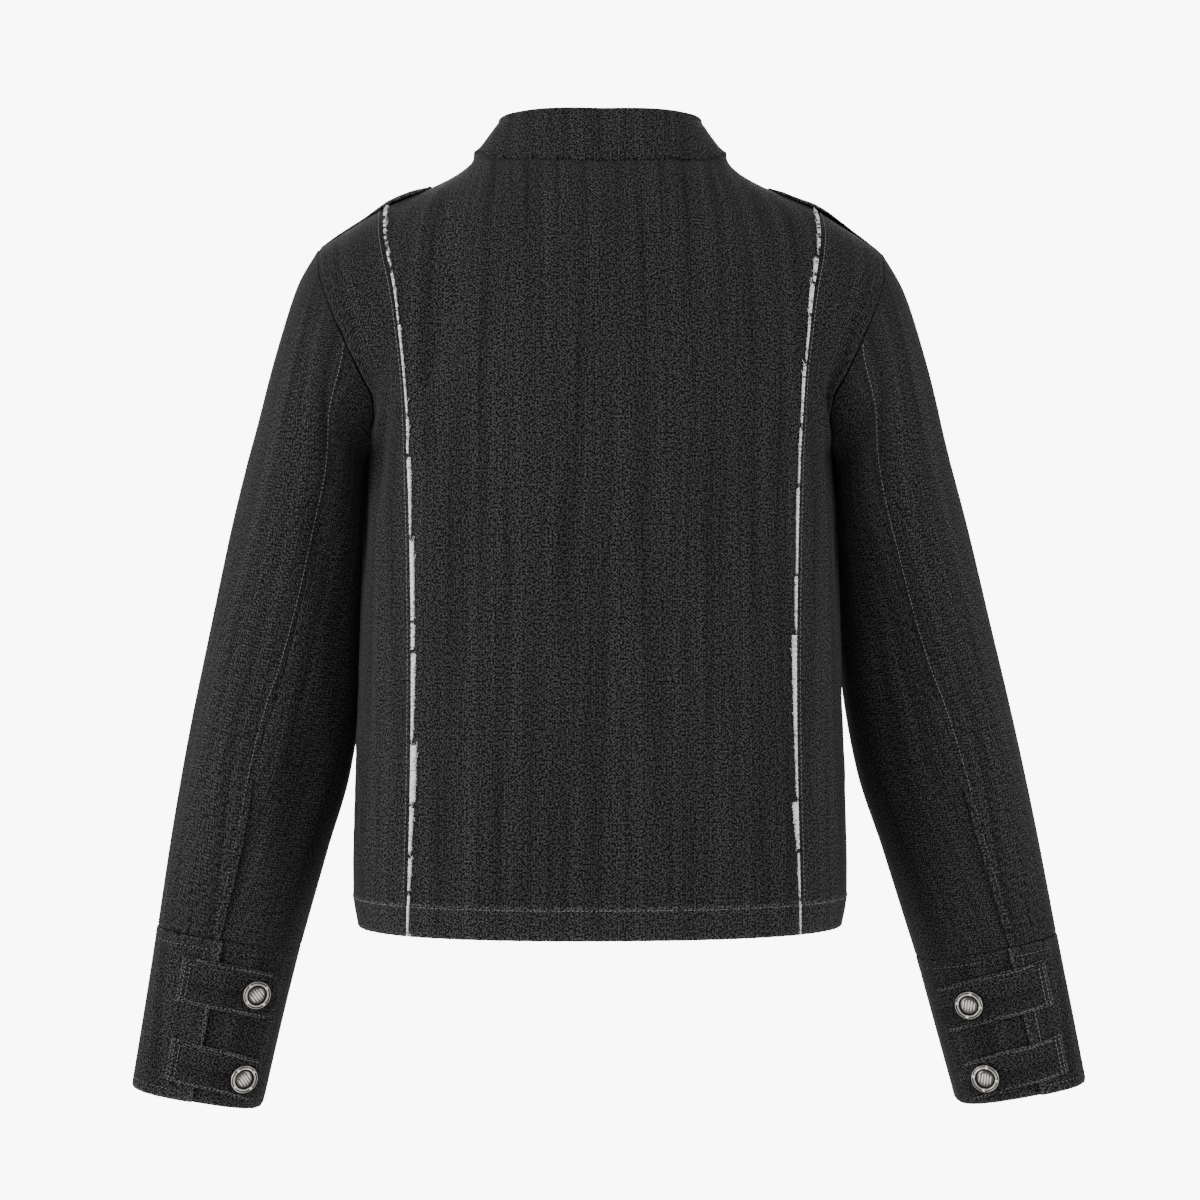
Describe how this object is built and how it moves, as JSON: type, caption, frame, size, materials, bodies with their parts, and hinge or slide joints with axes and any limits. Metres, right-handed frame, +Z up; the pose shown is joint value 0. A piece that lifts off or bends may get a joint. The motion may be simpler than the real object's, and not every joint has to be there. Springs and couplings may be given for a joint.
{
  "type": "denim jacket",
  "caption": "Cropped black denim jacket with stand collar, shoulder straps, frayed back seams, tabbed cuffs and metal buttons, in worn form.",
  "frame": {"origin": "middle of the neck opening, level with the collar seam at the sides of the neck, where a wearer's neck comes through", "axes": "+Z up along the wearer, -Y out of the front, +X to the wearer's left"},
  "size_m": [0.6769, 0.2591, 0.692],
  "materials": {
    "denim": "matte broken twill, near black with pale flecks",
    "frayed_edge": "raw pale threads, matte",
    "button_metal": "antique silver, worn bright on the high parts"
  },
  "bodies": {
    "root": {"back_centre": "denim", "back_side_left": "denim", "back_side_right": "denim", "front_left": "denim", "front_right": "denim", "collar": "denim", "sleeve_top_left": "denim", "sleeve_top_right": "denim", "sleeve_under_left": "denim", "sleeve_under_right": "denim", "cuff_left": "denim", "cuff_right": "denim", "cuff_tab_upper_left": "denim", "cuff_tab_lower_left": "denim", "cuff_tab_upper_right": "denim", "cuff_tab_lower_right": "denim", "epaulette_left": "denim", "epaulette_right": "denim", "raw_edge_left": "frayed_edge", "raw_edge_right": "frayed_edge", "cuff_button_upper_left": "button_metal", "cuff_button_lower_left": "button_metal", "cuff_button_upper_right": "button_metal", "cuff_button_lower_right": "button_metal", "front_button_1": "button_metal", "front_button_2": "button_metal", "front_button_3": "button_metal", "front_button_4": "button_metal", "front_button_5": "button_metal", "front_button_6": "button_metal"}
  },
  "joints": []
}
